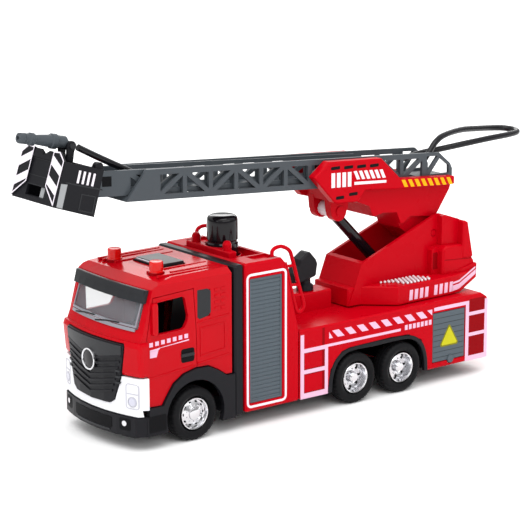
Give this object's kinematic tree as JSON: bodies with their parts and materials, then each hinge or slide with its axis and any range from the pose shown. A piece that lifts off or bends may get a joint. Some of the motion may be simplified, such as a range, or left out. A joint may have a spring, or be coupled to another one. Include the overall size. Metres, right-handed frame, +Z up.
{
  "type": "toy fire engine",
  "caption": "Toy fire engine with opening cab doors, press-down pump button, turning turntable, lifting and sliding ladder, tilting basket with water nozzle, hose and rolling wheels.",
  "frame": {"origin": "middle of the toy's length and width on the ground plane, without the hoses", "axes": "+X forward along the truck, +Y to its left, +Z up"},
  "size_m": [0.3113, 0.0662, 0.1493],
  "materials": {
    "red_metal": "gloss",
    "red_plastic": "gloss",
    "white_plastic": "satin",
    "black_plastic": "satin",
    "black_gloss": "gloss",
    "ladder_grey": "satin",
    "shutter_grey": "satin",
    "rubber_black": "matte",
    "tyre_black": "matte",
    "chrome_plate": "polished",
    "steel_wire": "satin",
    "clear_plastic": "clear",
    "red_lens": "gloss"
  },
  "bodies": {
    "body": {"chassis_base": "black_plastic", "cab_shell": "red_metal", "grille_panel": "black_plastic", "badge_ring": "chrome_plate", "windscreen": "clear_plastic", "sun_visor": "black_plastic", "headlamp_bumper": "white_plastic", "lower_bumper": "black_plastic", "cab_interior": "black_plastic", "roof_hatch": "ladder_grey", "beacon_left": "red_lens", "beacon_right": "red_lens", "divider_band": "black_plastic", "pump_box": "red_plastic", "shutter_left": "shutter_grey", "shutter_right": "shutter_grey", "ladder_rest": "red_plastic", "pump_cylinder": "black_plastic", "pump_spring": "steel_wire", "grab_ladder_left": "red_plastic", "grab_ladder_right": "red_plastic", "rear_body": "red_plastic", "arch_trim_left": "black_plastic", "arch_trim_right": "black_plastic", "water_tank": "white_plastic"},
    "left_door": {"door_left": "red_metal"},
    "right_door": {"door_right": "red_metal"},
    "button": {"pump_button": "black_gloss"},
    "left_flap": {"flap_left": "shutter_grey"},
    "right_flap": {"flap_right": "shutter_grey"},
    "gun": {"monitor": "black_plastic"},
    "tub": {"turntable": "red_plastic", "boom_pin": "steel_wire"},
    "ram": {"strut_rod": "steel_wire"},
    "sleeve": {"strut_barrel": "black_plastic"},
    "boom": {"boom_carriage": "red_plastic", "base_ladder": "ladder_grey"},
    "hose": {"hose_loop": "rubber_black"},
    "fly": {"fly_ladder": "ladder_grey", "hose_run": "rubber_black"},
    "cage": {"basket": "black_plastic", "nozzle_yoke": "black_plastic"},
    "water_gun": {"nozzle": "ladder_grey"},
    "front_wheels": {"front_axle": "steel_wire", "front_hub_left": "chrome_plate", "front_hub_right": "chrome_plate", "front_tyre_left": "tyre_black", "front_tyre_right": "tyre_black"},
    "mid_wheels": {"mid_axle": "steel_wire", "mid_hub_left": "chrome_plate", "mid_hub_right": "chrome_plate", "mid_tyre_left": "tyre_black", "mid_tyre_right": "tyre_black"},
    "rear_wheels": {"rear_axle": "steel_wire", "rear_hub_left": "chrome_plate", "rear_hub_right": "chrome_plate", "rear_tyre_left": "tyre_black", "rear_tyre_right": "tyre_black"}
  },
  "joints": [
    {"name": "front_axle_roll", "type": "hinge", "parent": "body", "child": "front_wheels", "pos_m": [0.05793, 0, 0.0129], "axis": [0, 1, 0], "continuous": true},
    {"name": "mid_axle_roll", "type": "hinge", "parent": "body", "child": "mid_wheels", "pos_m": [-0.03947, 0, 0.0129], "axis": [0, 1, 0], "continuous": true},
    {"name": "rear_axle_roll", "type": "hinge", "parent": "body", "child": "rear_wheels", "pos_m": [-0.06962, 0, 0.0129], "axis": [0, 1, 0], "continuous": true},
    {"name": "left_door_hinge", "type": "hinge", "parent": "body", "child": "left_door", "pos_m": [0.08443, 0.0305, 0.045], "axis": [0, 0, -1], "range_deg": [0, 65]},
    {"name": "right_door_hinge", "type": "hinge", "parent": "body", "child": "right_door", "pos_m": [0.08443, -0.0305, 0.045], "axis": [0, 0, 1], "range_deg": [0, 65]},
    {"name": "pump_button_press", "type": "slide", "parent": "body", "child": "button", "axis": [0, 0, -1], "range_m": [0, 0.012], "stiffness_N_per_m": 150, "springref_m": -0.002, "deforming": ["pump_spring"]},
    {"name": "left_flap_hinge", "type": "hinge", "parent": "body", "child": "left_flap", "pos_m": [-0.10217, 0.0311, 0.0364], "axis": [1, 0, 0], "range_deg": [0, 80]},
    {"name": "right_flap_hinge", "type": "hinge", "parent": "body", "child": "right_flap", "pos_m": [-0.10217, -0.0311, 0.0364], "axis": [-1, 0, 0], "range_deg": [0, 80]},
    {"name": "monitor_swivel", "type": "hinge", "parent": "body", "child": "gun", "pos_m": [-0.03307, 0, 0.0529], "axis": [0, 0, 1], "range_deg": [-60, 60]},
    {"name": "turntable_turn", "type": "hinge", "parent": "body", "child": "tub", "pos_m": [-0.09107, 0, 0.0434], "axis": [0, 0, 1], "continuous": true},
    {"name": "boom_lift", "type": "hinge", "parent": "tub", "child": "boom", "pos_m": [-0.10707, 0, 0.074], "axis": [0, -1, 0], "range_deg": [-3, 45]},
    {"name": "strut_foot_pivot", "type": "hinge", "parent": "tub", "child": "ram", "pos_m": [-0.09007, 0, 0.051], "axis": [0, -1, 0], "range_deg": [-3, 38]},
    {"name": "strut_top_pivot", "type": "hinge", "parent": "boom", "child": "sleeve", "pos_m": [-0.04857, 0, 0.092], "axis": [0, -1, 0], "range_deg": [-9, 1]},
    {"name": "hose_flex", "type": "hinge", "parent": "boom", "child": "hose", "pos_m": [-0.10907, 0, 0.111], "axis": [0, -1, 0], "range_deg": [-45, 3]},
    {"name": "fly_extend", "type": "slide", "parent": "boom", "child": "fly", "axis": [0.9978, 0, 0.0666], "range_m": [0, 0.09]},
    {"name": "basket_tilt", "type": "hinge", "parent": "fly", "child": "cage", "pos_m": [0.09313, 0, 0.121], "axis": [0, -1, 0], "range_deg": [-20, 12]},
    {"name": "nozzle_tilt", "type": "hinge", "parent": "cage", "child": "water_gun", "pos_m": [0.10533, 0, 0.141], "axis": [0, -1, 0], "range_deg": [-12, 30]}
  ],
  "couplings": [
    {"joint": "strut_foot_pivot", "follows": "boom_lift", "ratio": 0.828},
    {"joint": "strut_top_pivot", "follows": "boom_lift", "ratio": -0.172},
    {"joint": "hose_flex", "follows": "boom_lift", "ratio": -1}
  ]
}
